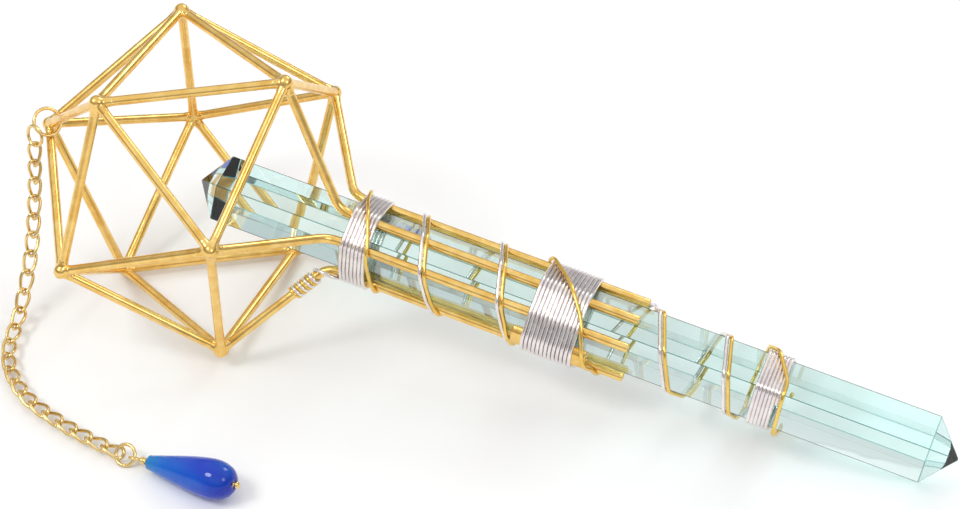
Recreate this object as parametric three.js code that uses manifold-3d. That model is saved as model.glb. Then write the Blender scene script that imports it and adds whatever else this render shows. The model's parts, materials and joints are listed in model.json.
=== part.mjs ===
// A crystal wand: a long double-pointed glass crystal whose head end stands inside an icosahedron of
// brazed round rods. Five of the rods run on along the crystal's flats as a handle, bound with silver
// and gold wire. A short chain with a blue drop bead hangs from the head's far joint.
// Millimetres. The wand lies on a table, +Z up and +X along the wand, away from the head.
import * as THREE from "three";
import { mergeVertices } from "three/addons/utils/BufferGeometryUtils.js";
import Module from "manifold-3d";

const wasm = await Module();
wasm.setup();

// ---- Driving dimensions ----
const gap = 0.3; // between pieces that touch on the real wand

const headRadius = 44; // head's centre to each corner, on the rods' centrelines
const rodDiameter = 2.4;
const jointDiameter = 4.8; // brazed lump at each corner
const headTwist = 22.8; // degrees from the crystal's front edge round to the first neck corner

const crystalFlats = 17; // across flats
const crystalLength = 204; // point to point, from the head's centre
const pointLength = 7.3;

const bendPlace = 39.5; // along the crystal, where the handle rods turn to run beside it
const bendReach = 2.5; // straight rod given up on each side of the turn
const handleEnd = 120.2; // cut ends of the handle rods
const handleFlats = [30, 90, 150, 270, 330]; // degrees from the front edge, one flat for each rod
const rodShift = [-2.8, 0, 0, 0, 0]; // along the flat, away from its middle

const silverDiameter = 1.0;
const goldDiameter = 0.9;
const neckWrap = [42.4, 50.6]; // from and to, along the crystal
const middleWrap = [93.4, 107.8];
const outerWrap = [152, 159.2];
const innerPlaces = [58.5, 69.5, 79.8, 90]; // open turns, where they cross the back and the front in turn
const outerPlaces = [122, 133.2, 140.2, 148.3];
const bandTuck = 0.3; // how far a run of open turns starts inside a band

const packingStart = 92.2; // short faceted bar under the middle wrap
const packingLength = 18;
const packingWidth = 6.2;
const packingThickness = 2.5;
const packingAngle = 60; // over the crystal's edge between the first two handle rods

const coilStart = 25; // along the second handle rod, from its corner joint
const coilTurns = 4;
const coilWire = 0.85;

const ringWire = 0.9;
const headRingDiameter = 8; // outside
const chainRingDiameter = 6.2;
const ringPlace = 4; // head ring, along its rod from the far corner

const linkCount = 22;
const linksPerPiece = 3;
const linkPitch = 5.25;
const linkWidth = 4.1; // outside
const linkWire = 0.9;
const linkBite = 0.15; // how far the links of one piece bite into each other
const chainTwist = 60; // degrees, of its hanging end against its lying end

const eyeDiameter = 3.7; // outside
const pendantWire = 0.8;
const neckDiameter = 1.9; // wire wrapped on itself below the eye
const neckLength = 2.2;
const beadLength = 25.2;
const beadDiameter = 10;
const bellyShare = 0.76; // where the bead is widest, as a share of its length
const beadMouth = 3.4; // flat narrow end
const pinHeadDiameter = 1.9;

// Where the chain hangs and lies, from the centre of the chain's first ring: forwards, sideways, and
// height as a share of the drop to the table.
const chainRoute = [
  [0, 0, 1],
  [-0.2, -2.7, 0.78],
  [-0.1, -5.4, 0.54],
  [0.2, -9.9, 0.33],
  [1.1, -16.6, 0.146],
  [2.4, -25, 0.027],
  [4.8, -34, 0],
  [11.2, -43.2, 0],
  [21, -49.8, 0],
  [31, -53.5, 0],
  [40.4, -56.1, 0],
  [49.8, -57.6, 0],
  [60, -58.5, 0],
  [78, -59, 0],
];

// ---- Values worked out from them ----
const rodRadius = rodDiameter / 2;
const jointRadius = jointDiameter / 2;
const flatDistance = crystalFlats / 2;
const edgeDistance = flatDistance / Math.cos(Math.PI / 6);
const handleDistance = flatDistance + gap + rodRadius;
const rodSides = 8;
const bendSteps = 4;
const wireSides = 6;

// ---- Materials ----
const finish = (color, metalness, roughness) =>
  new THREE.MeshStandardMaterial({ color, metalness, roughness });
const gold = () => finish(0xe3b04b, 1, 0.3);
const silver = () => finish(0xd8d0cf, 1, 0.35);
const paleGold = () => finish(0xdcb86a, 1, 0.25);
const crystalGlass = () => finish(0xbfe0da, 0, 0.05);
const blueGlass = () => finish(0x0a3fc0, 0, 0.15);

// ---- Helpers ----
const part = new THREE.Group();
const wand = new THREE.Group(); // +X along the crystal, its front edge towards +Y
part.add(wand);

function add(parent, name, geometry, material) {
  const mesh = new THREE.Mesh(geometry, material);
  mesh.name = name;
  parent.add(mesh);
  return mesh;
}

const radians = (degrees) => THREE.MathUtils.degToRad(degrees);

// A point beside the wand's axis; degrees run from the front edge towards +Z of the wand's group.
function around(along, distance, degrees) {
  const turn = radians(degrees);
  return new THREE.Vector3(along, distance * Math.cos(turn), distance * Math.sin(turn));
}

// The direction along a flat, across the crystal.
const alongFlat = (degrees) => around(0, 1, degrees + 90);

function towards(from, to, distance) {
  return to.clone().sub(from).setLength(distance).add(from);
}

const disc = (radius) => new THREE.Shape().absarc(0, 0, radius, 0, 2 * Math.PI);

// A round wire or rod swept along a curve.
function sweep(path, radius, sides, steps) {
  return new THREE.ExtrudeGeometry(disc(radius), {
    extrudePath: path,
    steps,
    curveSegments: sides / 2,
    bevelEnabled: false,
  });
}

// A route through points, sampled exactly at them.
class PointRoute extends THREE.Curve {
  constructor(points) {
    super();
    this.points = points;
  }
  getPoint(t) {
    const place = t * (this.points.length - 1);
    const first = Math.min(Math.floor(place), this.points.length - 2);
    return this.points[first].clone().lerp(this.points[first + 1], place - first);
  }
  getUtoTmapping(u) {
    return u;
  }
}

function wireThrough(points, diameter) {
  return sweep(new PointRoute(points), diameter / 2, wireSides, points.length - 1);
}

function solid(geometry) {
  const bare = geometry.clone();
  bare.deleteAttribute("normal");
  bare.deleteAttribute("uv");
  const merged = mergeVertices(bare, 1e-4);
  return new wasm.Manifold(
    new wasm.Mesh({
      numProp: 3,
      vertProperties: merged.attributes.position.array,
      triVerts: new Uint32Array(merged.index.array),
    }),
  );
}

function joined(geometries) {
  const whole = geometries.map(solid).reduce((sum, next) => sum.add(next));
  const mesh = whole.getMesh();
  const geometry = new THREE.BufferGeometry();
  geometry.setAttribute("position", new THREE.BufferAttribute(mesh.vertProperties, 3));
  geometry.setIndex(new THREE.BufferAttribute(mesh.triVerts, 1));
  return geometry;
}

// ---- Icosahedron head ----
const ringPlaceAlong = headRadius / Math.sqrt(5);
const ringDistance = 2 * ringPlaceAlong;
const neckCorners = [0, 1, 2, 3, 4].map((k) => around(ringPlaceAlong, ringDistance, headTwist + 72 * k));
const apexCorners = neckCorners.map((corner) => corner.clone().negate());
const apexCorner = new THREE.Vector3(-headRadius, 0, 0);
const jointReach = jointRadius + gap;

function straightRod(name, from, to) {
  const start = towards(from, to, jointReach);
  const end = towards(to, from, jointReach);
  const length = start.distanceTo(end);
  const rod = add(wand, name, new THREE.CylinderGeometry(rodRadius, rodRadius, length, rodSides), gold());
  rod.position.copy(start).lerp(end, 0.5);
  rod.quaternion.setFromUnitVectors(new THREE.Vector3(0, 1, 0), end.sub(start).normalize());
}

function brazedJoint(name, corner) {
  add(wand, name, new THREE.IcosahedronGeometry(jointRadius, 1), gold()).position.copy(corner);
}

brazedJoint("apex_joint", apexCorner);
for (let k = 0; k < 5; k += 1) {
  const next = (k + 1) % 5;
  brazedJoint(`apex_ring_joint_${k + 1}`, apexCorners[k]);
  brazedJoint(`neck_ring_joint_${k + 1}`, neckCorners[k]);
  straightRod(`apex_rod_${k + 1}`, apexCorner, apexCorners[k]);
  straightRod(`apex_ring_rod_${k + 1}`, apexCorners[k], apexCorners[next]);
  straightRod(`neck_ring_rod_${k + 1}`, neckCorners[k], neckCorners[next]);
  // Each neck corner faces the side of the apex ring opposite it.
  straightRod(`side_rod_${2 * k + 1}`, neckCorners[k], apexCorners[(k + 2) % 5]);
  straightRod(`side_rod_${2 * k + 2}`, neckCorners[k], apexCorners[(k + 3) % 5]);
}

// ---- Handle rods: from a neck corner to the neck, then along a flat of the crystal ----
function besideFlat(k, along) {
  const onFlat = around(along, handleDistance, handleFlats[k]);
  return onFlat.addScaledVector(alongFlat(handleFlats[k]), rodShift[k]);
}

function handleRod(k) {
  const turn = besideFlat(k, bendPlace);
  const start = towards(neckCorners[k], turn, jointReach);
  const end = besideFlat(k, handleEnd);
  const beforeTurn = towards(turn, start, bendReach);
  const afterTurn = towards(turn, end, bendReach);
  const bend = new THREE.QuadraticBezierCurve3(beforeTurn, turn, afterTurn).getPoints(bendSteps);
  return sweep(new PointRoute([start, ...bend, end]), rodRadius, rodSides, bendSteps + 2);
}

for (let k = 0; k < 5; k += 1) {
  add(wand, `handle_rod_${k + 1}`, handleRod(k), gold());
}

// ---- Crystal ----
const crystalOutline = [
  new THREE.Vector2(0, 0),
  new THREE.Vector2(edgeDistance, pointLength),
  new THREE.Vector2(edgeDistance, crystalLength - pointLength),
  new THREE.Vector2(0, crystalLength),
];
// Started a twelfth of a turn round, so that an edge and not a flat faces the front.
const crystalShape = new THREE.LatheGeometry(crystalOutline, 6, Math.PI / 6);
const crystal = add(wand, "crystal", crystalShape, crystalGlass());
crystal.rotation.z = -Math.PI / 2;

// ---- Packing bar ----
const packingCorner = (packingWidth - packingThickness) / 2;
const packingSection = new THREE.Shape([
  new THREE.Vector2(-packingWidth / 2, 0),
  new THREE.Vector2(-packingCorner, -packingThickness / 2),
  new THREE.Vector2(packingCorner, -packingThickness / 2),
  new THREE.Vector2(packingWidth / 2, 0),
  new THREE.Vector2(packingCorner, packingThickness / 2),
  new THREE.Vector2(-packingCorner, packingThickness / 2),
]);
const packingDistance = edgeDistance + gap + packingThickness / 2;
const packingBar = add(
  wand,
  "packing_bar",
  new THREE.ExtrudeGeometry(packingSection, { depth: packingLength, bevelEnabled: false }),
  gold(),
);
packingBar.position.copy(around(packingStart, packingDistance, packingAngle));
packingBar.quaternion.setFromRotationMatrix(
  new THREE.Matrix4().makeBasis(
    alongFlat(packingAngle).negate(),
    around(0, 1, packingAngle),
    new THREE.Vector3(1, 0, 0),
  ),
);

// ---- Binding wire ----
// What the wire is wound over at each stretch, as round-ended corners in the section: [centre, radius].
const inSection = (point) => new THREE.Vector2(point.y, point.z);
const crystalCorners = [0, 60, 120, 180, 240, 300].map((degrees) => [
  inSection(around(0, edgeDistance, degrees)),
  0,
]);
const rodCorners = handleFlats.map((degrees, k) => [inSection(besideFlat(k, 0)), rodRadius]);
const onPacking = (rise, aside) => [
  inSection(
    around(0, packingDistance + rise, packingAngle).addScaledVector(alongFlat(packingAngle), aside),
  ),
  0,
];
const packingCorners = [-1, 1].flatMap((side) => [
  onPacking(0, (side * packingWidth) / 2),
  onPacking(packingThickness / 2, side * packingCorner),
]);
const bareCore = crystalCorners;
const handleCore = [...crystalCorners, ...rodCorners];
const packedCore = [...handleCore, ...packingCorners];

// The taut loop round a core at a clearance, as points in order of their angle.
function tautLoop(core, clearance) {
  const points = core.flatMap(([centre, radius]) =>
    Array.from({ length: 12 }, (_, i) =>
      new THREE.Vector2(radius + clearance, 0)
        .rotateAround(new THREE.Vector2(), (i * Math.PI) / 6)
        .add(centre),
    ),
  );
  const ordered = points.sort((a, b) => a.x - b.x || a.y - b.y);
  const cross = (o, a, b) => (a.x - o.x) * (b.y - o.y) - (a.y - o.y) * (b.x - o.x);
  const chainOf = (list) => {
    const kept = [];
    for (const point of list) {
      while (kept.length > 1 && cross(kept.at(-2), kept.at(-1), point) <= 1e-6) kept.pop();
      kept.push(point);
    }
    return kept.slice(0, -1);
  };
  const loop = [...chainOf(ordered), ...chainOf([...ordered].reverse())];
  return loop.sort((a, b) => a.angle() - b.angle());
}

// Where a ray from the axis leaves a loop.
function onLoop(loop, angle) {
  const ray = new THREE.Vector2(Math.cos(angle), Math.sin(angle));
  const after = loop.findIndex((point) => point.angle() > angle);
  const end = loop.at(Math.max(after, 0));
  const start = loop.at(after < 0 ? -1 : after - 1);
  const side = end.clone().sub(start);
  return ray.multiplyScalar(start.cross(side) / ray.cross(side));
}

// Points of a winding from one station to the next. A station is [degrees, along].
function winding(stations, loopAt) {
  const points = [];
  for (let i = 0; i + 1 < stations.length; i += 1) {
    const [fromTurn, fromAlong] = stations[i];
    const [toTurn, toAlong] = stations[i + 1];
    const alongAt = (turn) =>
      THREE.MathUtils.mapLinear(turn, fromTurn, toTurn, fromAlong, toAlong);
    for (let lap = Math.floor(fromTurn / 360); lap <= Math.floor(toTurn / 360); lap += 1) {
      const middle = alongAt(THREE.MathUtils.clamp(360 * lap + 180, fromTurn, toTurn));
      for (const corner of loopAt(middle)) {
        const turn = 360 * lap + THREE.MathUtils.radToDeg(corner.angle());
        if (turn < fromTurn || turn >= toTurn) continue;
        const along = alongAt(turn);
        const here = onLoop(loopAt(along), corner.angle());
        points.push(new THREE.Vector3(along, here.x, here.y));
      }
    }
  }
  return points;
}

function coreAt(along, lead) {
  if (along > handleEnd + 1 + lead) return bareCore;
  return along > packingStart - 1 && along < packingStart + packingLength + 2 ? packedCore : handleCore;
}

function wrapBand(core, [from, to]) {
  const band = new THREE.Shape(tautLoop(core, gap + silverDiameter));
  band.holes.push(new THREE.Path(tautLoop(core, gap)));
  const geometry = new THREE.ExtrudeGeometry(band, { depth: to - from, bevelEnabled: false });
  const upright = new THREE.Matrix4().makeBasis(
    new THREE.Vector3(0, 1, 0),
    new THREE.Vector3(0, 0, 1),
    new THREE.Vector3(1, 0, 0),
  );
  return geometry.applyMatrix4(upright).translate(from, 0, 0);
}

const silverLoopAt = (along) => tautLoop(coreAt(along, 0), gap + silverDiameter / 2);
const halfTurns = (places, from, shift) => places.map((along, i) => [from + 180 * i, along + shift]);
const innerTurns = [
  [80, neckWrap[1] - bandTuck],
  ...halfTurns(innerPlaces, 270, 0),
  [880, middleWrap[0] + bandTuck],
];
const outerTurns = [
  [90, middleWrap[1] - bandTuck],
  ...halfTurns(outerPlaces, 270, 0),
  [900, outerWrap[0] + bandTuck],
];
const silverWire = joined([
  wrapBand(handleCore, neckWrap),
  wireThrough(winding(innerTurns, silverLoopAt), silverDiameter),
  wrapBand(packedCore, middleWrap),
  wireThrough(winding(outerTurns, silverLoopAt), silverDiameter),
  wrapBand(bareCore, outerWrap),
]);
add(wand, "silver_wire", silverWire, silver());

// The gold wire rides over the silver wraps. Between them it lies on the rods or the crystal, a little
// further along than the silver turns.
const besideSilver = silverDiameter / 2 + goldDiameter / 2 + 2 * gap;
const overReach = 4;
function goldLoopAt(along) {
  const over = [neckWrap, [middleWrap[0], packingStart + packingLength], outerWrap].some(
    ([from, to]) => along > from - overReach && along < to + overReach,
  );
  const clearance = over ? 2.5 * gap + silverDiameter : gap;
  return tautLoop(coreAt(along, besideSilver), clearance + goldDiameter / 2);
}
const goldStations = [
  [-110, neckWrap[0] + 0.6],
  [0, neckWrap[1] + 1],
  [60, neckWrap[1] + 3],
  ...halfTurns(innerPlaces, 270, besideSilver),
  [990, middleWrap[0] - 1],
  [1150, packingStart + packingLength + 2.8],
  ...halfTurns(outerPlaces, 1350, besideSilver),
  [2070, outerWrap[0] - 0.4],
  [2140, outerWrap[1] + 0.4],
  [2330, outerWrap[1] + 1.4],
];
add(wand, "gold_wire", wireThrough(winding(goldStations, goldLoopAt), goldDiameter), gold());

// ---- Anchor coil: the start of both wires, wound side by side on the second handle rod ----
const coilRod = 1;
const coilFoot = neckCorners[coilRod];
const coilDirection = besideFlat(coilRod, bendPlace).sub(coilFoot).normalize();
const coilStep = coilWire + 0.1;
const coilSamples = 10;

function anchorCoil(name, offset, material) {
  const distance = rodRadius + gap + coilWire / 2;
  const points = Array.from({ length: coilTurns * coilSamples + 1 }, (_, i) => {
    const turn = (2 * Math.PI * i) / coilSamples;
    const along = offset + (2 * coilStep * i) / coilSamples;
    return new THREE.Vector3(distance * Math.cos(turn), along, distance * Math.sin(turn));
  });
  const coil = add(wand, name, wireThrough(points, coilWire), material);
  coil.position.copy(coilFoot).addScaledVector(coilDirection, coilStart);
  coil.quaternion.setFromUnitVectors(new THREE.Vector3(0, 1, 0), coilDirection);
}
anchorCoil("silver_anchor_coil", 0, silver());
anchorCoil("gold_anchor_coil", -coilStep, gold());

// ---- Resting pose: two corner joints and the crystal's far edge touch the table ----
const restApex = apexCorners[4];
const restNeck = neckCorners[2];
const restEdge = around(crystalLength - pointLength, edgeDistance, 120);
const between = restNeck.clone().sub(restApex).normalize();
const reachBack = restEdge.clone().sub(restApex);
reachBack.addScaledVector(between, -reachBack.dot(between));
const tilt = -jointRadius / reachBack.length();
const across = between.clone().cross(reachBack).normalize();
if (across.dot(restApex) > 0) across.negate();
const up = reachBack.clone().normalize().multiplyScalar(tilt);
up.addScaledVector(across, Math.sqrt(1 - tilt * tilt));
const forward = new THREE.Vector3(1, 0, 0).addScaledVector(up, -up.x).normalize();
const sideways = up.clone().cross(forward);
wand.quaternion.setFromRotationMatrix(new THREE.Matrix4().makeBasis(forward, sideways, up).transpose());
wand.position.z = jointRadius - up.dot(restApex);
wand.updateMatrixWorld(true);

// ---- Rings, chain and pendant, placed on the table beside the resting wand ----
const ringShape = (diameter) =>
  new THREE.TorusGeometry((diameter - ringWire) / 2, ringWire / 2, wireSides, 16);

// The head ring hangs round one apex rod, close to the far joint.
const ringRod = 2;
const farJoint = wand.localToWorld(apexCorner.clone());
const ringRodEnd = wand.localToWorld(apexCorners[ringRod].clone());
const ringRodDirection = ringRodEnd.sub(farJoint).normalize();
// The ring hangs off the rod on the side that faces away from the crystal.
const outwards = new THREE.Vector3(-0.92, -0.39, 0);
outwards.addScaledVector(ringRodDirection, -outwards.dot(ringRodDirection)).normalize();
const headRingSlack = headRingDiameter / 2 - ringWire - rodRadius - gap;
const headRingCentre = farJoint
  .clone()
  .addScaledVector(ringRodDirection, ringPlace)
  .addScaledVector(outwards, headRingSlack);
const headRing = add(part, "head_ring", ringShape(headRingDiameter), paleGold());
headRing.position.copy(headRingCentre);
headRing.quaternion.setFromUnitVectors(new THREE.Vector3(0, 0, 1), ringRodDirection);

// The chain's first ring hangs in it, and the chain starts from that ring's centre.
const ringReach = (headRingDiameter + chainRingDiameter) / 2 - 2 * ringWire - gap;
const hang = new THREE.Vector3(-0.47, -0.69, -0.53);
hang.addScaledVector(ringRodDirection, -hang.dot(ringRodDirection)).normalize();
const chainStart = headRingCentre.clone().addScaledVector(hang, ringReach);

const lieHeight = linkWidth / 2;
const route = new THREE.CatmullRomCurve3(
  chainRoute.map(
    ([ahead, aside, share]) =>
      new THREE.Vector3(
        chainStart.x + ahead,
        chainStart.y + aside,
        THREE.MathUtils.lerp(lieHeight, chainStart.z, share),
      ),
  ),
);
const routeLength = route.getLength();

// A point on the route, which goes on straight past the last of its points.
function onRoute(distance) {
  const past = Math.max(distance - routeLength, 0);
  const point = route.getPointAt((distance - past) / routeLength);
  return point.addScaledVector(route.getTangentAt(1), past);
}

// The frame of a piece on the route: x along it, z away from the table.
function routeFrame(distance, halfLength) {
  const from = onRoute(distance - halfLength);
  const to = onRoute(distance + halfLength);
  const along = to.clone().sub(from).normalize();
  const side = new THREE.Vector3(0, 0, 1).cross(along).normalize();
  const frame = new THREE.Matrix4().makeBasis(along, side, along.clone().cross(side));
  return frame.setPosition(from.lerp(to, 0.5));
}

function chainRing(name, frame, roll) {
  const geometry = ringShape(chainRingDiameter).rotateX(radians(roll));
  add(part, name, geometry, paleGold()).applyMatrix4(frame);
}

// Links lie at right angles in turn, and the hanging end of the chain is twisted a little.
const linkRoll = (index) => (index % 2 ? -45 : 45) + chainTwist * (1 - index / (linkCount - 1));
chainRing("chain_ring_1", routeFrame(1, 1).setPosition(chainStart), linkRoll(0) - 90);

// One oval link, longer along x, rolled to one side or the other in turn.
const linkInside = linkPitch - linkBite;
function oneLink(index) {
  const endRadius = (linkWidth - linkWire) / 2;
  const stretch = (linkInside + linkWire) / 2 - endRadius;
  const geometry = new THREE.TorusGeometry(endRadius, linkWire / 2, wireSides, 10);
  const positions = geometry.attributes.position;
  for (let i = 0; i < positions.count; i += 1) {
    positions.setX(i, positions.getX(i) + Math.sign(positions.getX(i)) * stretch);
  }
  return geometry.rotateX(radians(linkRoll(index)));
}

const firstLink = chainRingDiameter / 2 - ringWire + linkInside / 2 - gap;
let place = firstLink;
let links = [];
let pieceFrame = null;
let pieceNumber = 0;
for (let i = 0; i < linkCount; i += 1) {
  const frame = routeFrame(place, linkInside / 2);
  if (links.length === 0) {
    pieceFrame = frame.clone().setPosition(onRoute(place - linkInside / 2));
  }
  links.push(oneLink(i).applyMatrix4(pieceFrame.clone().invert().multiply(frame)));
  if (links.length === linksPerPiece || i === linkCount - 1) {
    pieceNumber += 1;
    const piece = add(part, `chain_piece_${pieceNumber}`, joined(links), paleGold());
    piece.applyMatrix4(pieceFrame);
    links = [];
    place += linkInside - gap;
  } else {
    place += linkPitch;
  }
}

const lastLink = place - (linkInside - gap);
const endRingPlace = lastLink + linkInside / 2 + chainRingDiameter / 2 - ringWire - gap;
const endRingRoll = linkRoll(linkCount - 1) + 90;
chainRing("chain_ring_2", routeFrame(endRingPlace, 2), endRingRoll);

// ---- Pendant: eye, wrapped neck, shaft and head in one wire; the bead turns on the shaft ----
const eyePlace = endRingPlace + chainRingDiameter / 2 - ringWire + eyeDiameter / 2 - pendantWire - gap;
const eyeFrame = routeFrame(eyePlace, 1);
const neckStart = eyeDiameter / 2 - pendantWire / 2;
const beadStart = neckStart + neckLength + gap;
const bellyPlace = beadStart + bellyShare * beadLength;
const pendant = new THREE.Group();
pendant.applyMatrix4(eyeFrame);
pendant.rotateY(-Math.asin((beadDiameter / 2 + gap / 2 - pendant.position.z) / bellyPlace));
part.add(pendant);

function cylinderAlong(diameter, from, to, sides) {
  const geometry = new THREE.CylinderGeometry(diameter / 2, diameter / 2, to - from, sides);
  return geometry.rotateZ(-Math.PI / 2).translate((from + to) / 2, 0, 0);
}

const eye = new THREE.TorusGeometry((eyeDiameter - pendantWire) / 2, pendantWire / 2, wireSides, 12);
const beadEnd = beadStart + beadLength;
const pinWire = joined([
  eye.rotateX(radians(endRingRoll - 90)),
  cylinderAlong(neckDiameter, neckStart, neckStart + neckLength, 10),
  cylinderAlong(pendantWire, neckStart, beadEnd + gap + pinHeadDiameter / 2, 8),
  new THREE.SphereGeometry(pinHeadDiameter / 2, 8, 6).translate(beadEnd + gap + pinHeadDiameter / 2, 0, 0),
]);
add(pendant, "pendant_wire", pinWire, paleGold());

const boreRadius = pendantWire / 2 + gap;
// The bead's outline as shares of its length and of its radius, from the narrow end to the round one.
const beadSwell = [
  [0.25, 0.62],
  [0.5, 0.86],
  [0.68, 0.98],
  [bellyShare, 1],
  [0.86, 0.94],
  [0.95, 0.72],
  [1, 0.32],
];
const beadProfile = [
  new THREE.Vector2(boreRadius, 0),
  new THREE.Vector2(beadMouth / 2, 0),
  ...beadSwell.map(([along, wide]) =>
    new THREE.Vector2((wide * beadDiameter) / 2, along * beadLength),
  ),
  new THREE.Vector2(boreRadius, beadLength),
  new THREE.Vector2(boreRadius, 0),
];
const bead = add(pendant, "drop_bead", new THREE.LatheGeometry(beadProfile, 16), blueGlass());
bead.rotation.z = -Math.PI / 2;
bead.position.x = beadStart;

// ---- Origin: the middle of the whole object's underside ----
part.updateMatrixWorld(true);
const whole = new THREE.Box3().setFromObject(part, true);
const middle = whole.getCenter(new THREE.Vector3());
for (const child of part.children) {
  child.position.sub(new THREE.Vector3(middle.x, middle.y, whole.min.z));
}

export default part;
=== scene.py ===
"""A crystal wand: a glass crystal in a brazed brass cage, bound with wire, with a chain and a blue drop."""

import json
import math

import bmesh
import bpy
from mathutils import Matrix, Vector, noise


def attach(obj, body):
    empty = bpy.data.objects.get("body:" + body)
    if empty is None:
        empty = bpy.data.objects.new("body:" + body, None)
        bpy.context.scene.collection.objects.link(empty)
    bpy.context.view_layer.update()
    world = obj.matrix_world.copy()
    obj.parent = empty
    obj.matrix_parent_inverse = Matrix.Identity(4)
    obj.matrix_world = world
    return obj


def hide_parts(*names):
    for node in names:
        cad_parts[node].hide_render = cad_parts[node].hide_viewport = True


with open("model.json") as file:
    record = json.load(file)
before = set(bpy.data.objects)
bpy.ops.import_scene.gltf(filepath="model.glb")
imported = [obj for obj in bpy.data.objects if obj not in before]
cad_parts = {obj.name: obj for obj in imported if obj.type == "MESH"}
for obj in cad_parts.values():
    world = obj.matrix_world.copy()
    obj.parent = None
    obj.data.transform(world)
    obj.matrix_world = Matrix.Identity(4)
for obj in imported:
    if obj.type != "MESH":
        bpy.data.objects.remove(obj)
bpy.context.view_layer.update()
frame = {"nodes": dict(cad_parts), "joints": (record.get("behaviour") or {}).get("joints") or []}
MM = 0.001

# ---- Sizes, in metres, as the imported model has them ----
ROD = 1.2 * MM  # radius of the brazing rod
ROD_END = 0.18  # share of the radius by which a rod's cut end is rounded
LUMP = 1.85 * MM  # radius of a braze lump
FILLET, FILLET_SPREAD = 3.4 * MM, 0.7 * MM  # length of the braze along each rod
FILLET_START, FILLET_END = 1.6 * MM, 1.16 * MM  # its radius
FLATS = 17 * MM  # across the crystal
GROUND_EDGE = 0.14 * MM
HANDLE_FLATS = (30, 90, 150, 270, 330)  # degrees round the crystal, one handle rod on each
ROD_SHIFTS = (-2.8 * MM, 0, 0, 0, 0)
BEND_PLACE = 39.5 * MM
BEND_REACH = 3.6 * MM
HANDLE_END = 120.2 * MM
SILVER = 1.0 * MM  # wire diameters
GOLD = 1.0 * MM
NECK_WRAP = (42.4 * MM, 50.6 * MM)
MIDDLE_WRAP = (93.4 * MM, 107.8 * MM)
OUTER_WRAP = (152 * MM, 159.2 * MM)
INNER_PLACES = [place * MM for place in (58.5, 69.5, 79.8, 90)]
OUTER_PLACES = [place * MM for place in (122, 133.2, 140.2, 148.3)]
BAR_START, BAR_LENGTH, BAR_WIDTH, BAR_THICK = 91.2 * MM, 19.8 * MM, 6.8 * MM, 3.0 * MM
BAR_ANGLE = 51
BAR_ROUNDING = 0.6 * MM
COIL_START = 25 * MM
COIL_WIRE = 0.85 * MM
COIL_TURNS = 4
TOUCH = 0.03 * MM  # between a wire and what it lies on
RAMP = 2.2 * MM  # length over which a wire climbs to what lies under it
RING_WIRE = 0.9 * MM
RING_GAP = 0.06  # radians between a ring's two ends
HEAD_RING, CHAIN_RING = 8 * MM, 6.2 * MM
LINK_PITCH, LINK_WIDTH, LINK_WIRE = 5.25 * MM, 4.1 * MM, 0.9 * MM
LINK_PLAY = 0.15 * MM  # each end of a link stands this far off its neighbour
LINKS_PER_PIECE = 3
LINK_COUNT = 22
LINK_TWIST = 45  # degrees at each end of a link
EYE, PENDANT_WIRE = 3.7 * MM, 0.8 * MM
NECK, NECK_LENGTH = 1.9 * MM, 2.2 * MM
BEAD_LENGTH, BEAD = 25.2 * MM, 10 * MM
PIN_HEAD = 1.9 * MM
CAMERA_FROM_HEAD = (0.2662, -0.45206, 0.45906)  # from the floor under the crystal's tip in the cage
CAMERA_TURNS = (22.68, 40.77, 1.37)  # azimuth, elevation and roll, in degrees
CAMERA_LENS = 97.26


# ---- Places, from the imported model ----
def points_of(node):
    return [vertex.co.copy() for vertex in frame["nodes"][node].data.vertices]


def centre(node):
    points = points_of(node)
    return sum(points, Vector()) / len(points)


def wand_frame():
    """X along the crystal from its tip in the cage, Y out through its front edge."""
    points = points_of("crystal")
    apex = centre("apex_joint")
    head = min(points, key=lambda point: (point - apex).length)
    foot = max(points, key=lambda point: (point - head).length)
    x = (foot - head).normalized()
    edges = [point - head - x * (point - head).dot(x) for point in points]
    reach = max(edge.length for edge in edges)
    corners = [edge.normalized() for edge in edges if edge.length > reach / 2]
    y = max(corners, key=lambda corner: corner.dot(Vector((0, -1, 1))))
    z = x.cross(y)
    return Matrix((x, y, z)).transposed().to_4x4(), head, (foot - head).length


turned, head_tip, CRYSTAL_LENGTH = wand_frame()
wand = Matrix.Translation(head_tip) @ turned
to_wand = wand.inverted()


def around(along, distance, degrees):
    turn = math.radians(degrees)
    return Vector((along, distance * math.cos(turn), distance * math.sin(turn)))


# ---- Camera, floor and light ----
def look_camera():
    from_head = Vector(CAMERA_FROM_HEAD)
    azimuth, elevation, roll = [math.radians(degrees) for degrees in CAMERA_TURNS]
    level = Vector((math.cos(azimuth), math.sin(azimuth), 0))
    ahead = Vector((-math.sin(azimuth), math.cos(azimuth), 0)) * math.cos(elevation)
    ahead.z = -math.sin(elevation)
    above = level.cross(ahead)
    right = level * math.cos(roll) - above * math.sin(roll)
    up = right.cross(ahead)
    data = bpy.data.cameras.new("camera")
    data.lens = CAMERA_LENS
    data.sensor_width = 36
    data.clip_start = 0.01
    camera = bpy.data.objects.new("camera", data)
    bpy.context.scene.collection.objects.link(camera)
    place = Matrix((right, up, -ahead)).transposed().to_4x4()
    camera.matrix_world = Matrix.Translation(Vector((head_tip.x, head_tip.y, 0)) + from_head) @ place
    bpy.context.scene.camera = camera


def soft_light(name, place, size, power):
    data = bpy.data.lights.new(name, "AREA")
    data.shape = "DISK"
    data.size = size
    data.energy = power
    light = bpy.data.objects.new(name, data)
    bpy.context.scene.collection.objects.link(light)
    light.location = place
    light.rotation_euler = (-Vector(place)).to_track_quat("-Z", "Y").to_euler()


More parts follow.
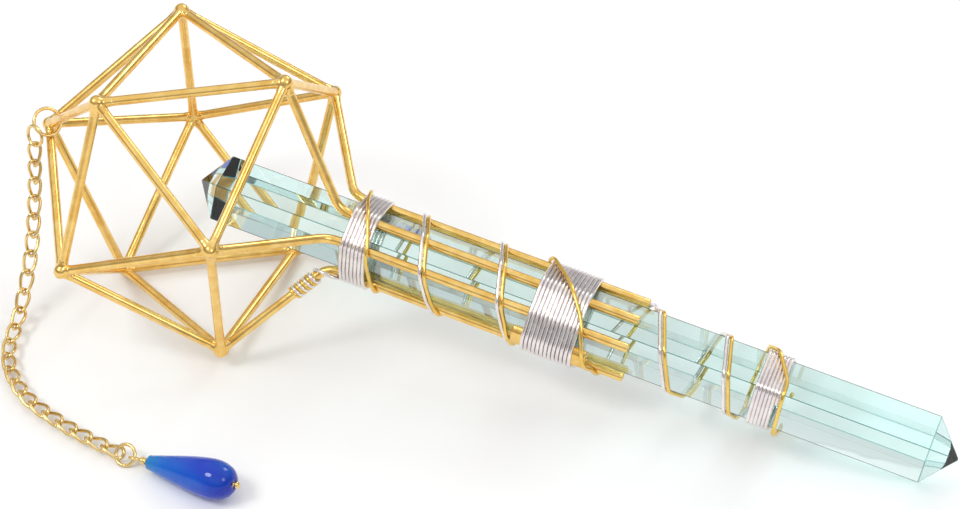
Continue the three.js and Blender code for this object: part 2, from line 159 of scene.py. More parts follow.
def studio():
    mesh = bpy.data.meshes.new("floor")
    side = 3
    corners = [(-side, -side, 0), (side, -side, 0), (side, side, 0), (-side, side, 0)]
    mesh.from_pydata(corners, [], [(0, 1, 2, 3)])
    floor = bpy.data.objects.new("floor", mesh)
    bpy.context.scene.collection.objects.link(floor)
    shader = new_material("floor_white")[1]
    shader.inputs["Base Color"].default_value = (0.93, 0.93, 0.93, 1)
    shader.inputs["Roughness"].default_value = 0.9
    shader.inputs["Specular IOR Level"].default_value = 0.1
    mesh.materials.append(bpy.data.materials["floor_white"])
    world = bpy.data.worlds.new("studio")
    bpy.context.scene.world = world
    world.use_nodes = True
    nodes, links = world.node_tree.nodes, world.node_tree.links
    where = nodes.new("ShaderNodeTexCoord")
    height = nodes.new("ShaderNodeSeparateXYZ")
    shade = nodes.new("ShaderNodeValToRGB")
    links.new(where.outputs["Generated"], height.inputs[0])
    links.new(height.outputs["Z"], shade.inputs[0])
    links.new(shade.outputs[0], nodes["Background"].inputs["Color"])
    ramp = shade.color_ramp
    ramp.elements[0].position, ramp.elements[0].color = 0.0, (0.85, 0.84, 0.83, 1)
    ramp.elements[1].position, ramp.elements[1].color = 0.75, (1, 1, 1, 1)
    dim = ramp.elements.new(0.2)
    dim.color = (0.30, 0.30, 0.31, 1)
    nodes["Background"].inputs["Strength"].default_value = 0.94
    soft_light("key", (-0.5, -0.5, 0.95), 0.4, 3.6)
    soft_light("fill", (0.75, -0.35, 0.7), 0.4, 1.3)
    soft_light("back", (0.2, 0.8, 0.7), 0.4, 1.6)
    bpy.context.scene.view_settings.view_transform = "Standard"


# ---- Materials ----
def new_material(name):
    material = bpy.data.materials.new(name)
    material.use_nodes = True
    return material, material.node_tree.nodes["Principled BSDF"]


def attribute_node(tree, name):
    node = tree.nodes.new("ShaderNodeAttribute")
    node.attribute_name = name
    return node


def noise_node(tree, scale, detail, stretch=None):
    where = attribute_node(tree, "local")
    texture = tree.nodes.new("ShaderNodeTexNoise")
    texture.inputs["Scale"].default_value = scale
    texture.inputs["Detail"].default_value = detail
    if stretch is None:
        tree.links.new(where.outputs["Vector"], texture.inputs["Vector"])
        return texture
    mapping = tree.nodes.new("ShaderNodeMapping")
    mapping.inputs["Scale"].default_value = stretch
    tree.links.new(where.outputs["Vector"], mapping.inputs["Vector"])
    tree.links.new(mapping.outputs[0], texture.inputs["Vector"])
    return texture


def ramp_node(tree, source, low, high, start=0.35, end=0.65):
    ramp = tree.nodes.new("ShaderNodeValToRGB")
    ramp.color_ramp.elements[0].position = start
    ramp.color_ramp.elements[1].position = end
    ramp.color_ramp.elements[0].color = low
    ramp.color_ramp.elements[1].color = high
    tree.links.new(source.outputs[0], ramp.inputs[0])
    return ramp


def grey(value):
    return (value, value, value, 1)


def metal(name, dark, light, rough, grain, lumps, stretch=None):
    """A polished metal whose colour and gloss vary a little, with fine grain and wider lumps."""
    material, shader = new_material(name)
    tree = material.node_tree
    shader.inputs["Metallic"].default_value = 1
    tone = ramp_node(tree, noise_node(tree, 260, 4), (*dark, 1), (*light, 1))
    tree.links.new(tone.outputs[0], shader.inputs["Base Color"])
    gloss = ramp_node(tree, noise_node(tree, 900, 5, stretch), grey(rough[0]), grey(rough[1]))
    tree.links.new(gloss.outputs[0], shader.inputs["Roughness"])
    fine = tree.nodes.new("ShaderNodeBump")
    fine.inputs["Strength"].default_value = grain
    fine.inputs["Distance"].default_value = 0.05 * MM
    tree.links.new(noise_node(tree, 2600, 3, stretch).outputs["Fac"], fine.inputs["Height"])
    wide = tree.nodes.new("ShaderNodeBump")
    wide.inputs["Strength"].default_value = lumps
    wide.inputs["Distance"].default_value = 0.3 * MM
    tree.links.new(noise_node(tree, 420, 2).outputs["Fac"], wide.inputs["Height"])
    tree.links.new(fine.outputs[0], wide.inputs["Normal"])
    tree.links.new(wide.outputs[0], shader.inputs["Normal"])
    return material


def crystal_glass():
    """Clear glass with a faint aqua tint that deepens where light runs far through it."""
    material, shader = new_material("crystal_glass")
    tree = material.node_tree
    shader.inputs["Transmission Weight"].default_value = 1
    shader.inputs["IOR"].default_value = 1.5
    # Painted shade: the narrow ground edges between the flats get a dark teal base colour, standing in for
    # the dark lines that refraction and reflection draw along a clear crystal's edges.
    edge = tree.nodes.new("ShaderNodeMix")
    edge.data_type = "RGBA"
    edge.inputs["A"].default_value = (0.95, 1, 0.99, 1)
    edge.inputs["B"].default_value = (0.12, 0.30, 0.28, 1)
    tree.links.new(attribute_node(tree, "painted_shade_edge").outputs["Fac"], edge.inputs["Factor"])
    tree.links.new(edge.outputs["Result"], shader.inputs["Base Color"])
    polish = ramp_node(tree, noise_node(tree, 60, 4), grey(0.0), grey(0.02))
    tree.links.new(polish.outputs[0], shader.inputs["Roughness"])
    wave = tree.nodes.new("ShaderNodeBump")
    wave.inputs["Strength"].default_value = 0.05
    wave.inputs["Distance"].default_value = 0.3 * MM
    tree.links.new(noise_node(tree, 90, 1).outputs["Fac"], wave.inputs["Height"])
    tree.links.new(wave.outputs[0], shader.inputs["Normal"])
    tint = tree.nodes.new("ShaderNodeVolumeAbsorption")
    tint.inputs["Color"].default_value = (0.64, 0.87, 0.855, 1)
    tint.inputs["Density"].default_value = 32
    output = tree.nodes["Material Output"]
    tree.links.new(tint.outputs[0], output.inputs["Volume"])
    # Lamp light goes straight through, so the glass throws a light shadow.
    through = tree.nodes.new("ShaderNodeBsdfTransparent")
    through.inputs["Color"].default_value = (0.80, 0.93, 0.92, 1)
    ray = tree.nodes.new("ShaderNodeLightPath")
    mix = tree.nodes.new("ShaderNodeMixShader")
    tree.links.new(ray.outputs["Is Shadow Ray"], mix.inputs[0])
    tree.links.new(shader.outputs[0], mix.inputs[1])
    tree.links.new(through.outputs[0], mix.inputs[2])
    tree.links.new(mix.outputs[0], output.inputs["Surface"])
    return material


def bead_glass():
    """Cobalt glass, paler and greener towards its narrow end, with a soft paler streak."""
    material, shader = new_material("bead_glass")
    tree = material.node_tree
    split = tree.nodes.new("ShaderNodeSeparateXYZ")
    tree.links.new(attribute_node(tree, "local").outputs["Vector"], split.inputs[0])
    along = tree.nodes.new("ShaderNodeMapRange")
    along.inputs["From Max"].default_value = BEAD_LENGTH
    tree.links.new(split.outputs["X"], along.inputs["Value"])
    tone = ramp_node(tree, along, (0.02, 0.22, 0.50, 1), (0.0, 0.018, 0.36, 1), 0, 1)
    for place, colour in ((0.25, (0.005, 0.11, 0.55, 1)), (0.7, (0.0, 0.034, 0.48, 1))):
        tone.color_ramp.elements.new(place).color = colour
    streak = ramp_node(tree, noise_node(tree, 170, 1, (0.5, 1, 1)), grey(0), grey(0.35), 0.45, 0.75)
    mix = tree.nodes.new("ShaderNodeMix")
    mix.data_type = "RGBA"
    mix.inputs["B"].default_value = (0.008, 0.17, 0.60, 1)
    tree.links.new(streak.outputs[0], mix.inputs["Factor"])
    tree.links.new(tone.outputs[0], mix.inputs["A"])
    tree.links.new(mix.outputs["Result"], shader.inputs["Base Color"])
    polish = ramp_node(tree, noise_node(tree, 500, 3), grey(0.04), grey(0.09))
    tree.links.new(polish.outputs[0], shader.inputs["Roughness"])
    shader.inputs["Coat Weight"].default_value = 0.2
    shader.inputs["Coat Roughness"].default_value = 0.03
    shader.inputs["Specular IOR Level"].default_value = 0.35
    shader.inputs["IOR"].default_value = 1.5
    return material


look_camera()
studio()
ALONG_ROD = (1, 1, 0.06)
rod_metal = metal("rod_brass", (0.84, 0.51, 0.13), (0.95, 0.67, 0.24), (0.16, 0.27), 0.12, 0.06, ALONG_ROD)
braze_metal = metal("braze_brass", (0.84, 0.51, 0.13), (0.95, 0.68, 0.26), (0.16, 0.28), 0.1, 0.22)
gold_metal = metal("gold_wire_metal", (0.82, 0.52, 0.11), (0.92, 0.64, 0.18), (0.14, 0.24), 0.08, 0.04)
silver_metal = metal("silver_wire_metal", (0.78, 0.72, 0.72), (0.90, 0.86, 0.85), (0.18, 0.28), 0.06, 0.03)
pale_metal = metal("pale_gold_plate", (0.74, 0.52, 0.20), (0.88, 0.68, 0.32), (0.12, 0.22), 0.15, 0.05)
glass = crystal_glass()
blue = bead_glass()


# ---- Mesh helpers ----
def piece(name, mesh, material, body, replaced=(), place=None, smooth=True):
    """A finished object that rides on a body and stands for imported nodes."""
    mesh.materials.append(material)
    if smooth:
        mesh.shade_smooth()
    local = mesh.attributes.new("local", "FLOAT_VECTOR", "POINT")
    local.data.foreach_set("vector", [number for vertex in mesh.vertices for number in vertex.co])
    if place is not None:
        mesh.transform(place)
    made = bpy.data.objects.new(name, mesh)
    bpy.context.scene.collection.objects.link(made)
    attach(made, body)
    if replaced:
        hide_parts(*replaced)
    return made


def add_tube(shape, points, radius, sides=12, closed=False):
    """Adds a round wire through points. radius is one number or one for each point."""
    count = len(points)
    radii = radius if isinstance(radius, list) else [radius] * count
    ways = []
    for i in range(count):
        before = points[i - 1] if closed or i else points[i]
        after = points[(i + 1) % count] if closed or i + 1 < count else points[i]
        ways.append((after - before).normalized())
    side = ways[0].orthogonal().normalized()
    sides_of = [side]
    for i in range(1, count):
        side = ways[i - 1].rotation_difference(ways[i]) @ side
        sides_of.append(side.normalized())
    slip = 0
    if closed:  # the twist left over is shared out, so that the two ends meet
        last = ways[-1].rotation_difference(ways[0]) @ side
        slip = math.atan2(last.cross(sides_of[0]).dot(ways[0]), last.dot(sides_of[0]))
    rings = []
    for i in range(count):
        turned_side = Matrix.Rotation(slip * i / count, 3, ways[i]) @ sides_of[i]
        other = ways[i].cross(turned_side)
        ring = []
        for j in range(sides):
            turn = 2 * math.pi * j / sides
            offset = turned_side * math.cos(turn) + other * math.sin(turn)
            ring.append(shape.verts.new(points[i] + offset * radii[i]))
        rings.append(ring)
    for i in range(count if closed else count - 1):
        a, b = rings[i], rings[(i + 1) % count]
        for j in range(sides):
            k = (j + 1) % sides
            shape.faces.new((a[j], a[k], b[k], b[j]))
    if not closed:
        shape.faces.new(list(reversed(rings[0])))
        shape.faces.new(rings[-1])


def rounded_ends(points, radius, steps=4, rounding=1):
    """Points and radii of a wire whose two ends are rounded off, by a share of the radius."""
    full, radii = list(points), [radius] * len(points)
    for end, inner in ((0, 1), (-1, -2)):
        way = (full[end] - full[inner]).normalized()
        tips = []
        for i in range(1, steps + 1):
            turn = math.pi / 2 * i / (steps + 0.5)
            thin = radius * (1 - rounding * (1 - math.cos(turn)))
            tips.append((full[end] + way * radius * rounding * math.sin(turn), thin))
        if end == 0:
            full = [tip[0] for tip in reversed(tips)] + full
            radii = [tip[1] for tip in reversed(tips)] + radii
        else:
            full += [tip[0] for tip in tips]
            radii += [tip[1] for tip in tips]
    return full, radii


def finished(shape, name):
    mesh = bpy.data.meshes.new(name)
    shape.normal_update()
    shape.to_mesh(mesh)
    shape.free()
    return mesh


def ring_points(radius, count=64):
    return [Vector((radius * math.cos(2 * math.pi * i / count),
                    radius * math.sin(2 * math.pi * i / count), 0)) for i in range(count)]


# ---- Cage: rods between the corner joints, and a braze lump at each joint ----
joint_nodes = {"apex": "apex_joint"}
for k in range(1, 6):
    joint_nodes[f"far{k}"] = f"apex_ring_joint_{k}"
    joint_nodes[f"near{k}"] = f"neck_ring_joint_{k}"
corners = {corner: to_wand @ centre(node) for corner, node in joint_nodes.items()}
rod_ways = {corner: [] for corner in corners}


def rod_piece(node, points):
    """One rod through points in the wand's frame, a little uneven, as hand-cut rod is."""
    start, end = points[0], points[-1]
    way = (end - start).normalized()
    side = way.orthogonal().normalized()
    local = Matrix((side, way.cross(side), way)).transposed().to_4x4()
    place = Matrix.Translation(start) @ local
    back = place.inverted()
    dense = []
    for a, b in zip(points, points[1:]):
        steps = max(1, round((b - a).length / (1.5 * MM)))
        dense += [a.lerp(b, i / steps) for i in range(steps)]
    dense.append(end)
    full, radii = rounded_ends([back @ point for point in dense], ROD, 3, ROD_END)
    radii = [r * (1 + 0.02 * noise.noise(p * 180 + start * 900)) for p, r in zip(full, radii)]
    shape = bmesh.new()
    add_tube(shape, full, radii, 24)
    piece(f"{node}_bar", finished(shape, node), rod_metal, "wand", [node], wand @ place)


def cage_rod(node, a, b):
    rod_piece(node, [corners[a], corners[b]])
    rod_ways[a].append((corners[b] - corners[a]).normalized())
    rod_ways[b].append((corners[a] - corners[b]).normalized())


def handle_rods():
    beside = FLATS / 2 + ROD + TOUCH
    for k, degrees in enumerate(HANDLE_FLATS):
        shift = around(0, ROD_SHIFTS[k], degrees + 90)
        start = corners[f"near{k + 1}"]
        turn = around(BEND_PLACE, beside, degrees) + shift
        end = around(HANDLE_END - ROD_END * ROD, beside, degrees) + shift
        into = turn + (start - turn).normalized() * BEND_REACH
        out = turn + (end - turn).normalized() * BEND_REACH
        bend = [(into.lerp(turn, i / 8)).lerp(turn.lerp(out, i / 8), i / 8) for i in range(9)]
        rod_piece(f"handle_rod_{k + 1}", [start, *bend, end])
        rod_ways[f"near{k + 1}"].append((turn - start).normalized())


def braze(corner):
    """A lump of braze drawn out a little along each rod, made whole by a voxel remesh."""
    shape = bmesh.new()
    middle = corners[corner]
    bmesh.ops.create_icosphere(shape, subdivisions=3, radius=LUMP)
    seed = middle * 700
    for vertex in shape.verts:
        vertex.co *= 1 + 0.16 * noise.noise(vertex.co * 420 + seed)
    for i, way in enumerate(rod_ways[corner]):
        steps = 8
        reach = FILLET + FILLET_SPREAD * noise.noise(seed + way * 9 + Vector((i, 0, 0)))
        points = [way * reach * j / steps for j in range(steps + 1)]
        thinning = FILLET_END - FILLET_START
        radii = [FILLET_START + thinning * math.sin(math.pi / 2 * j / steps) for j in range(steps + 1)]
        add_tube(shape, points, radii, 20)
    raw = finished(shape, "raw_braze")
    rough = bpy.data.objects.new("raw_braze", raw)
    bpy.context.scene.collection.objects.link(rough)
    remesh = rough.modifiers.new("remesh", "REMESH")
    remesh.mode = "VOXEL"
    remesh.voxel_size = 0.2 * MM
    soften = rough.modifiers.new("soften", "SMOOTH")
    soften.factor = 0.5
    soften.iterations = 9
    fat_again = rough.modifiers.new("swell", "DISPLACE")
    fat_again.strength = 0.12 * MM
    fat_again.mid_level = 0
    ready = rough.evaluated_get(bpy.context.evaluated_depsgraph_get())
    mesh = bpy.data.meshes.new_from_object(ready)
    bpy.data.objects.remove(rough)
    node = joint_nodes[corner]
    place = wand @ Matrix.Translation(middle)
    piece(f"{node}_braze", mesh, braze_metal, "wand", [node], place)


for k in range(1, 6):
    after = k % 5 + 1
    cage_rod(f"apex_rod_{k}", "apex", f"far{k}")
    cage_rod(f"apex_ring_rod_{k}", f"far{k}", f"far{after}")
    cage_rod(f"neck_ring_rod_{k}", f"near{k}", f"near{after}")
    cage_rod(f"side_rod_{2 * k - 1}", f"near{k}", f"far{(k + 1) % 5 + 1}")
    cage_rod(f"side_rod_{2 * k}", f"near{k}", f"far{(k + 2) % 5 + 1}")
handle_rods()
for corner in corners:
    braze(corner)


# ---- Crystal ----
def crystal():
    shape = bmesh.new()
    edge = FLATS / 2 / math.cos(math.pi / 6)
    packed = points_of("crystal")
    ins = sorted((to_wand @ point).x for point in packed)
    shoulders = [x for x in ins if 1 * MM < x < CRYSTAL_LENGTH - 1 * MM]
    near, far = shoulders[0], shoulders[-1]
    head = shape.verts.new((0, 0, 0))
    foot = shape.verts.new((CRYSTAL_LENGTH, 0, 0))
    first = [shape.verts.new(around(near, edge, 60 * i)) for i in range(6)]
    last = [shape.verts.new(around(far, edge, 60 * i)) for i in range(6)]
    for i in range(6):
        j = (i + 1) % 6
        shape.faces.new((head, first[j], first[i]))
        shape.faces.new((first[i], first[j], last[j], last[i]))
        shape.faces.new((foot, last[i], last[j]))
    bmesh.ops.recalc_face_normals(shape, faces=shape.faces)
    # The bevel faces are flagged here to carry the painted dark shade of the glass's ground edges.
    painted_shade_layer = shape.faces.layers.float.new("painted_shade_edge")
    edges = shape.edges[:]
    made = bmesh.ops.bevel(shape, geom=edges, offset=GROUND_EDGE, segments=1, profile=0.5, affect="EDGES")
    for face in made["faces"]:
        face[painted_shade_layer] = 1
    mesh = finished(shape, "crystal")
    piece("crystal_glass_body", mesh, glass, "wand", ["crystal"], wand, smooth=False)


crystal()


# ---- Packing bar ----
def packing_bar():
    shape = bmesh.new()
    inner = (BAR_WIDTH - BAR_THICK) / 2
    section = [(-BAR_WIDTH / 2, 0), (-inner, -BAR_THICK / 2), (inner, -BAR_THICK / 2),
               (BAR_WIDTH / 2, 0), (inner, BAR_THICK / 2), (-inner, BAR_THICK / 2)]
    ends = [[shape.verts.new((x, y, z)) for x, y in section] for z in (0, BAR_LENGTH)]
    shape.faces.new(list(reversed(ends[0])))
    shape.faces.new(ends[1])
    for i in range(6):
        j = (i + 1) % 6
        shape.faces.new((ends[0][i], ends[0][j], ends[1][j], ends[1][i]))
    edges = shape.edges[:]
    bmesh.ops.bevel(shape, geom=edges, offset=BAR_ROUNDING, segments=3, profile=0.5, affect="EDGES")
    distance = FLATS / 2 / math.cos(math.pi / 6) + TOUCH + BAR_THICK / 2
    out = around(0, 1, BAR_ANGLE)
    across = around(0, -1, BAR_ANGLE + 90)
    place = Matrix((across, out, Vector((1, 0, 0)))).transposed().to_4x4()
    place = Matrix.Translation(around(BAR_START, distance, BAR_ANGLE)) @ place
    mesh = finished(shape, "packing_bar")
    piece("packing_bar_brass", mesh, braze_metal, "wand", ["packing_bar"], wand @ place)


packing_bar()


# ---- Binding wire: real turns round the outline of what they hold ----
def section_core(packed, handled):
    """What the wire is wound over, as (y, z, radius) of each round-ended corner."""
    edge = FLATS / 2 / math.cos(math.pi / 6)
    core = []
    for i in range(6):
        corner = around(0, edge, 60 * i)
        core.append((corner.y, corner.z, 0))
    if handled:
        for degrees, shift in zip(HANDLE_FLATS, ROD_SHIFTS):
            rod = around(0, FLATS / 2 + ROD + TOUCH, degrees) + around(0, shift, degrees + 90)
            core.append((rod.y, rod.z, ROD))
    if packed:
        for side in (-1, 1):
            for rise, aside in ((0, BAR_WIDTH / 2), (BAR_THICK / 2, (BAR_WIDTH - BAR_THICK) / 2)):
                middle = around(0, edge + TOUCH + BAR_THICK / 2 + rise, BAR_ANGLE)
                middle += around(0, side * aside, BAR_ANGLE + 90)
                core.append((middle.y, middle.z, 0))
    return core


def reach_of(core, clearance, angle):
    """How far from the axis a taut loop round a core lies at an angle."""
    key = (len(core), round(clearance / MM, 2))
    if key not in loops:
        points = []
        for y, z, radius in core:
            for i in range(36):
                turn = math.pi * i / 18
                reach = radius + clearance
                points.append((y + reach * math.cos(turn), z + reach * math.sin(turn)))
        loops[key] = hull(points)
    loop = loops[key]
    way = (math.cos(angle), math.sin(angle))
    best = 0
    for (ay, az), (by, bz) in zip(loop, loop[1:] + loop[:1]):
        ey, ez = by - ay, bz - az
        cross = way[0] * ez - way[1] * ey
        if abs(cross) < 1e-12:
            continue
        out = (ay * ez - az * ey) / cross
        share = (ay * way[1] - az * way[0]) / cross
        if out > best and -1e-9 <= share <= 1 + 1e-9:
            best = out
    return best


def hull(points):
    ordered = sorted(points)

    def half(some):
        kept = []
        for point in some:
            while len(kept) > 1:
                (ay, az), (by, bz) = kept[-2], kept[-1]
                if (by - ay) * (point[1] - az) - (bz - az) * (point[0] - ay) > 0:
                    break
                kept.pop()
            kept.append(point)
        return kept[:-1]

    return half(ordered) + half(ordered[::-1])


loops = {}
BARE = section_core(False, False)
HANDLED = section_core(False, True)
PACKED = section_core(True, True)


def core_reach(along, clearance, angle):
    """How far out a wire lies, with an even slope where what is under it begins or ends."""
    bar_end = BAR_START + BAR_LENGTH
    over_bar = min(1, max(0, min(along - BAR_START, bar_end - along) / RAMP + 1))
    over_rods = min(1, max(0, (HANDLE_END - along) / RAMP + 1))
    reach = reach_of(BARE, clearance, angle)
    if over_rods > 0:
        reach += over_rods * (reach_of(HANDLED, clearance, angle) - reach)
    if over_bar > 0:
        reach += over_bar * (reach_of(PACKED, clearance, angle) - reach)
    return reach


def winding(stations, clearance_at, step=4):
    """Points of a wire through stations of (degrees, along)."""
    points = []
    for (from_turn, from_along), (to_turn, to_along) in zip(stations, stations[1:]):
        steps = max(1, round((to_turn - from_turn) / step))
        for i in range(steps):
            share = i / steps
            degrees = from_turn + (to_turn - from_turn) * share
            along = from_along + (to_along - from_along) * share
            clearance = clearance_at(along)
            reach = core_reach(along, clearance, math.radians(degrees))
            points.append(around(along, reach, degrees))
    return points


def eased(points, rounds):
    """Rounds off the kinks of a path."""
    for _ in range(rounds):
        inner = [(a + b * 2 + c) / 4 for a, b, c in zip(points, points[1:], points[2:])]
        points = [points[0], *inner, points[-1]]
    return points


def bridged(a, b, steps=10):
    """Joins the end of path a to the start of path b with a smooth curve."""
    way_a = (a[-1] - a[-3]).normalized()
    way_b = (b[2] - b[0]).normalized()
    pull = (b[0] - a[-1]).length * 0.9
    bridge = []
    for i in range(1, steps):
        t = i / steps
        near, far = a[-1] + way_a * pull * t, b[0] - way_b * pull * (1 - t)
        bridge.append(near.lerp(far, t * t * (3 - 2 * t)))
    return a + bridge + b


def anchor_coil(offset):
    """One wire of the pair wound side by side on the second handle rod."""
    beside = FLATS / 2 + ROD + TOUCH
    foot = corners["near2"]
    turn = around(BEND_PLACE, beside, HANDLE_FLATS[1])
    way = (turn - foot).normalized()
    side = way.orthogonal().normalized()
    other = way.cross(side)
    pitch = 2 * (COIL_WIRE + 0.04 * MM)
    reach = ROD + COIL_WIRE / 2 + TOUCH
    points = []
    count = COIL_TURNS * 28
    for i in range(count + 1):
        turned_by = 2 * math.pi * i / 28
        along = COIL_START + offset + pitch * i / 28
        out = side * math.cos(turned_by) + other * math.sin(turned_by)
        points.append(foot + way * along + out * reach)
    return points


def silver_clearance(along):
    return SILVER / 2 + TOUCH


def half_turns(places, start, shift=0):
    return [(start + 180 * i, place + shift) for i, place in enumerate(places)]


def silver_stations():
    half = SILVER / 2
    turn = 90 - 7 * 360
    stations = [(turn, NECK_WRAP[0] + half), (80, NECK_WRAP[1] - half)]
    stations += half_turns(INNER_PLACES, 270)
    stations.append((880, MIDDLE_WRAP[0] + half))
    turns_over = 880 + 360 * 12 + 290
    stations.append((turns_over, MIDDLE_WRAP[1] - half))
    stations += half_turns(OUTER_PLACES, turns_over + 180)
    band = turns_over + 810
    stations += [(band, OUTER_WRAP[0] + half), (band + 360 * 6 + 200, OUTER_WRAP[1] - half)]
    return stations


def gold_clearance(along):
    """The gold wire climbs over each silver band and lies on the rods or the crystal between them."""
    over = 0
    for start, end in (NECK_WRAP, MIDDLE_WRAP, OUTER_WRAP):
        outside = max(start - along, along - end, 0)
        over = max(over, 1 - max(0, outside - 0.5 * MM) / (2.6 * MM))
    return GOLD / 2 + TOUCH + over * (SILVER + TOUCH)


def gold_stations():
    beside = (SILVER + GOLD) / 2 * 1.2
    stations = [(-130, NECK_WRAP[0] - 0.6 * MM), (-60, NECK_WRAP[0] + 2.2 * MM)]
    stations += [(0, NECK_WRAP[1] - 0.6 * MM), (60, NECK_WRAP[1] + 1.8 * MM)]
    stations += half_turns(INNER_PLACES, 270, beside)
    stations += [(985, MIDDLE_WRAP[0] - 1 * MM), (1080, MIDDLE_WRAP[1] - 0.4 * MM)]
    stations.append((1150, BAR_START + BAR_LENGTH + 1.3 * MM))
    stations += half_turns(OUTER_PLACES, 1350, beside)
    stations += [(2070, OUTER_WRAP[0] - 0.4 * MM), (2140, OUTER_WRAP[1] + 0.4 * MM)]
    stations.append((2330, OUTER_WRAP[1] + 1.4 * MM))
    return stations


def wires():
    silver_path = eased(winding(silver_stations(), silver_clearance), 2)
    shape = bmesh.new()
    full, radii = rounded_ends(bridged(anchor_coil(0), silver_path), SILVER / 2)
    add_tube(shape, full, radii, 12)
    mesh = finished(shape, "silver_wire")
    nodes = ["silver_wire", "silver_anchor_coil"]
    piece("silver_binding", mesh, silver_metal, "wand", nodes, wand)
    gold_path = eased(winding(gold_stations(), gold_clearance), 4)
    shape = bmesh.new()
    full, radii = rounded_ends(gold_path, GOLD / 2)
    add_tube(shape, full, radii, 12)
    mesh = finished(shape, "gold_wire")
    piece("gold_binding", mesh, gold_metal, "wand", ["gold_wire"], wand)
    shape = bmesh.new()
    full, radii = rounded_ends(anchor_coil(-COIL_WIRE), COIL_WIRE / 2)
    add_tube(shape, full, radii, 12)
    mesh = finished(shape, "gold_coil")
    piece("gold_coil_wire", mesh, gold_metal, "wand", ["gold_anchor_coil"], wand)


wires()


# ---- Rings and chain ----
def best_plane(node):
    """The centre and the two in-plane directions and normal of a flat ring node."""
    points = points_of(node)
    middle = sum(points, Vector()) / len(points)
    spread = Matrix(((0, 0, 0), (0, 0, 0), (0, 0, 0)))
    for point in points:
        offset = (point - middle) / MM
        for i in range(3):
            for j in range(3):
                spread[i][j] += offset[i] * offset[j]
    normal = Vector((0.3, 0.5, 0.8))
    inverse = spread.inverted()
    for _ in range(40):  # the direction in which the points spread least
        normal = (inverse @ normal).normalized()
    side = normal.orthogonal().normalized()
    return Matrix.Translation(middle) @ Matrix((side, normal.cross(side), normal)).transposed().to_4x4()


def jump_ring(node, diameter, split):
    """A bent wire ring with a hairline cut where its ends meet."""
    place = best_plane(node)
    reach = (diameter - RING_WIRE) / 2
    shape = bmesh.new()
    points = []
    for i in range(65):
        turn = split + RING_GAP / 2 + (2 * math.pi - RING_GAP) * i / 64
        rise = 0.06 * MM * (i / 32 - 1)  # the two ends stand a little out of line
        points.append(Vector((reach * math.cos(turn), reach * math.sin(turn), rise)))
    full, radii = rounded_ends(points, RING_WIRE / 2, 3)
    add_tube(shape, full, radii, 14)
    piece(f"{node}_wire", finished(shape, node), pale_metal, node, [node], place)
    return place


joint_place = {joint["child"]: Vector(joint["pos_m"]) for joint in frame["joints"]}


def catmull(points, at):
    """A smooth curve through points, at a place counted in points."""
    i = min(int(at), len(points) - 2)
    t = at - i
    p1, p2 = points[i], points[i + 1]
    p0 = points[i - 1] if i else p1 * 2 - p2
    p3 = points[i + 2] if i + 2 < len(points) else p2 * 2 - p1
    return (p1 * 2 + (p2 - p0) * t + (p0 * 2 - p1 * 5 + p2 * 4 - p3) * t * t
            + (p1 * 3 - p0 - p2 * 3 + p3) * t ** 3) / 2


def curb_link(shape, place, twist):
    """One flat-twisted oval link, with x along the chain."""
    reach = (LINK_PITCH + LINK_WIRE) / 2 + LINK_PLAY
    wide = (LINK_WIDTH - LINK_WIRE) / 2
    points = []
    count = 36
    for i in range(count):
        turn = 2 * math.pi * i / count
        x = math.copysign(abs(math.cos(turn)) ** 0.7, math.cos(turn)) * reach
        y = math.copysign(abs(math.sin(turn)) ** 0.75, math.sin(turn)) * wide
        points.append(place @ (Matrix.Rotation(twist * x / reach, 3, "X") @ Vector((x, y, 0))))
    add_tube(shape, points, LINK_WIRE / 2, 10, closed=True)


def chain():
    pieces = [f"chain_piece_{k}" for k in range(1, (LINK_COUNT - 1) // LINKS_PER_PIECE + 2)]
    knots = [joint_place[name] for name in pieces]
    # The last piece is shorter, so the curve is carried on to where a whole piece would end.
    last_way = (joint_place["chain_ring_2"] - knots[-1]).normalized()
    knots.append(knots[-1] + last_way * LINKS_PER_PIECE * LINK_PITCH)
    for k, name in enumerate(pieces):
        links = min(LINKS_PER_PIECE, LINK_COUNT - LINKS_PER_PIECE * k)
        shape = bmesh.new()
        for i in range(links):
            share = (i + 0.5) / LINKS_PER_PIECE
            middle = catmull(knots, k + share)
            ahead = catmull(knots, k + share + 0.08) - catmull(knots, k + share - 0.08)
            ahead.normalize()
            side = Vector((0, 0, 1)).cross(ahead).normalized()
            basis = Matrix((ahead, side, ahead.cross(side))).transposed().to_4x4()
            curb_link(shape, Matrix.Translation(middle) @ basis, math.radians(LINK_TWIST))
        mesh = finished(shape, name)
        piece(f"{name}_links", mesh, pale_metal, name, [name])


jump_ring("head_ring", HEAD_RING, 0.7)
jump_ring("chain_ring_1", CHAIN_RING, 2.1)
chain()
jump_ring("chain_ring_2", CHAIN_RING, 4.0)


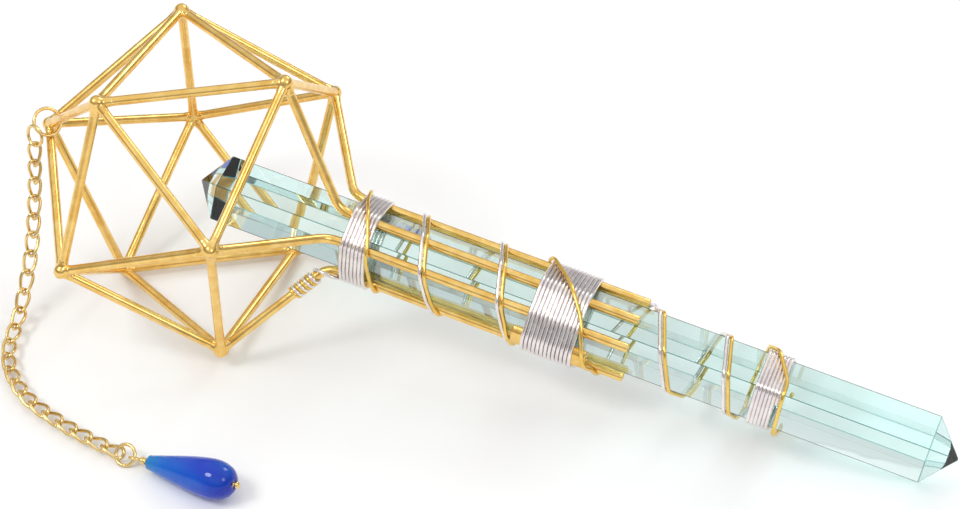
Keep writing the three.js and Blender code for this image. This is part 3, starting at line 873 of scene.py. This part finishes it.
# ---- Pendant ----
def pendant():
    spin = [joint for joint in frame["joints"] if joint["child"] == "bead"][0]
    x = Vector(spin["axis"]).normalized()
    hole = Vector(spin["pos_m"])
    side = Vector((0, 0, 1)).cross(x).normalized()
    place = Matrix.Translation(hole) @ Matrix((x, side, x.cross(side))).transposed().to_4x4()
    neck_start = EYE / 2 - PENDANT_WIRE / 2
    bead_start = neck_start + NECK_LENGTH + 0.3 * MM
    shape = bmesh.new()
    tilt = Matrix.Rotation(math.radians(-45), 3, "X")
    eye = [tilt @ point for point in ring_points((EYE - PENDANT_WIRE) / 2, 48)]
    add_tube(shape, eye, PENDANT_WIRE / 2, 12, closed=True)
    wrap_wire = 0.62 * MM
    wrap_reach = NECK / 2 - wrap_wire / 2
    turns = 3.4
    count = 110
    coil = []
    for i in range(count + 1):
        turn = 2 * math.pi * turns * i / count
        along = neck_start + wrap_wire / 2 + (NECK_LENGTH - wrap_wire) * i / count
        coil.append(Vector((along, wrap_reach * math.cos(turn), wrap_reach * math.sin(turn))))
    full, radii = rounded_ends(coil, wrap_wire / 2)
    add_tube(shape, full, radii, 12)
    end = bead_start + BEAD_LENGTH
    add_tube(shape, [Vector((neck_start - 0.2 * MM, 0, 0)), Vector((end + 0.7 * MM, 0, 0))], 0.4 * MM, 14)
    ball = Matrix.Translation((end + 0.3 * MM + PIN_HEAD / 2 * 0.7, 0, 0)) @ Matrix.Diagonal((0.7, 1, 1, 1))
    bmesh.ops.create_icosphere(shape, subdivisions=3, radius=PIN_HEAD / 2, matrix=ball)
    mesh = finished(shape, "pendant")
    piece("pendant_head_pin", mesh, pale_metal, "pendant", ["pendant_wire"], place)
    bead(place @ Matrix.Translation((bead_start, 0, 0)))


def bead(place):
    bore = 0.55 * MM
    # Shares of the bead's length, and of its greatest radius there.
    swell = [(0.0, 0.0), (0.012, 0.35), (0.03, 0.375), (0.12, 0.475), (0.25, 0.61),
             (0.38, 0.745), (0.5, 0.86), (0.6, 0.935), (0.68, 0.98), (0.76, 1.0),
             (0.83, 0.965), (0.89, 0.87), (0.94, 0.74), (0.98, 0.52), (1.0, 0.3)]
    outline = [Vector((along * BEAD_LENGTH, max(bore, wide * BEAD / 2), 0)) for along, wide in swell]
    smooth = []
    for i in range(4 * (len(outline) - 1) + 1):
        smooth.append(catmull(outline, i / 4))
    smooth.append(Vector((BEAD_LENGTH, bore, 0)))
    shape = bmesh.new()
    sides = 64
    rings = []
    for point in smooth:
        rings.append([shape.verts.new(around(point.x, point.y, 360 * j / sides)) for j in range(sides)])
    for a, b in zip(rings, rings[1:] + rings[:1]):
        for j in range(sides):
            k = (j + 1) % sides
            shape.faces.new((a[j], a[k], b[k], b[j]))
    bmesh.ops.recalc_face_normals(shape, faces=shape.faces)
    piece("drop_bead_glass", finished(shape, "bead"), blue, "bead", ["drop_bead"], place)


pendant()
